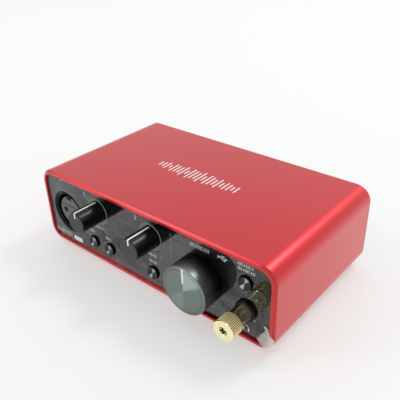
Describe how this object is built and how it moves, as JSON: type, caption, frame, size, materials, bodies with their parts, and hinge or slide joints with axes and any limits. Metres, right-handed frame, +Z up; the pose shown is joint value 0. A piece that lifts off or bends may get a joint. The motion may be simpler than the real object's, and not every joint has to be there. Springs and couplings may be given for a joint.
{
  "type": "desktop audio interface",
  "caption": "Desktop audio interface: satin red metal sleeve, gloss black front with gain knobs, large monitor knob, push buttons, microphone socket, jacks and a gilt headphone adapter.",
  "frame": {"origin": "on the table, under the middle of the whole assembly, knobs and plugged-in adapter included", "axes": "+Z up, the front panel faces -Y, +X to the right as the user sees the front"},
  "size_m": [0.1436, 0.0966, 0.0435],
  "materials": {
    "red_anodised": "satin red anodised",
    "panel_black": "high gloss black",
    "film_clear": "clear film",
    "rear_black": "fine black powder coat",
    "rubber_black": "matt",
    "knob_black": "satin black",
    "pointer_white": "white inlay",
    "ring_translucent": "translucent white",
    "disc_aluminium": "turned dark aluminium",
    "button_metal": "turned dark metal look",
    "steel": "plain",
    "switch_plastic": "black moulding",
    "socket_black": "black moulding",
    "insert_grey": "dark grey moulding",
    "gilt": "gilt plate",
    "insulator": "black rings",
    "tin": "tinned",
    "circuit_board": "solder mask",
    "component": "moulded epoxy",
    "light_pipe": "clear rod"
  },
  "bodies": {
    "case": {"board_chips": "component", "board_header": "switch_plastic", "board_screws": "steel", "capacitors": "component", "case_shell": "red_anodised", "direct_switch": "switch_plastic", "feet": "rubber_black", "front_board": "circuit_board", "front_panel": "panel_black", "gain_pot_1": "steel", "gain_pot_2": "steel", "gain_ring_1": "ring_translucent", "gain_ring_2": "ring_translucent", "headphone_jack": "socket_black", "headphone_jack_nut": "socket_black", "input_jack": "socket_black", "input_jack_nut": "socket_black", "instrument_switch": "switch_plastic", "jack_lugs": "tin", "line_out_jack_left": "socket_black", "line_out_jack_right": "socket_black", "line_out_nuts": "steel", "main_board": "circuit_board", "monitor_pot": "steel", "panel_posts": "panel_black", "phantom_switch": "switch_plastic", "protective_film": "film_clear", "rear_panel": "rear_black", "rear_screws": "steel", "status_light_pipe": "light_pipe", "tone_switch": "switch_plastic", "usb_socket": "steel", "usb_tongue": "socket_black", "xlr_contacts": "gilt", "xlr_housing": "socket_black", "xlr_insert": "insert_grey"},
    "gain_control_1": {"gain_knob_1": "knob_black", "gain_pointer_1": "pointer_white", "gain_shaft_1": "steel"},
    "gain_control_2": {"gain_knob_2": "knob_black", "gain_pointer_2": "pointer_white", "gain_shaft_2": "steel"},
    "monitor_control": {"monitor_knob": "knob_black", "monitor_disc": "disc_aluminium", "monitor_pointer": "pointer_white", "monitor_shaft": "steel"},
    "phantom_cap": {"phantom_button": "button_metal"},
    "tone_cap": {"tone_button": "button_metal"},
    "instrument_cap": {"instrument_button": "button_metal"},
    "direct_cap": {"direct_button": "button_metal"},
    "adapter": {"adapter_grip": "gilt", "adapter_sleeve": "gilt", "adapter_insulators": "insulator", "adapter_ring": "gilt", "adapter_tip": "gilt"}
  },
  "joints": [
    {"name": "gain_turn_1", "type": "hinge", "parent": "case", "child": "gain_control_1", "pos_m": [-0.0307, -0.033, 0.0313], "axis": [0, 1, 0], "range_deg": [-150, 150]},
    {"name": "gain_turn_2", "type": "hinge", "parent": "case", "child": "gain_control_2", "pos_m": [0.00505, -0.033, 0.0314], "axis": [0, 1, 0], "range_deg": [-150, 150]},
    {"name": "monitor_turn", "type": "hinge", "parent": "case", "child": "monitor_control", "pos_m": [0.0334, -0.033, 0.0218], "axis": [0, 1, 0], "range_deg": [-150, 150]},
    {"name": "phantom_press", "type": "slide", "parent": "case", "child": "phantom_cap", "axis": [0, 1, 0], "range_m": [0, 0.0008], "stiffness_N_per_m": 600, "springref_m": -0.0012},
    {"name": "tone_press", "type": "slide", "parent": "case", "child": "tone_cap", "axis": [0, 1, 0], "range_m": [0, 0.0008], "stiffness_N_per_m": 600, "springref_m": -0.0012},
    {"name": "instrument_press", "type": "slide", "parent": "case", "child": "instrument_cap", "axis": [0, 1, 0], "range_m": [0, 0.0008], "stiffness_N_per_m": 600, "springref_m": -0.0012},
    {"name": "direct_press", "type": "slide", "parent": "case", "child": "direct_cap", "axis": [0, 1, 0], "range_m": [0, 0.0008], "stiffness_N_per_m": 600, "springref_m": -0.0012},
    {"name": "adapter_pull", "type": "slide", "parent": "case", "child": "adapter", "axis": [0, -1, 0], "range_m": [0, 0.035]}
  ]
}
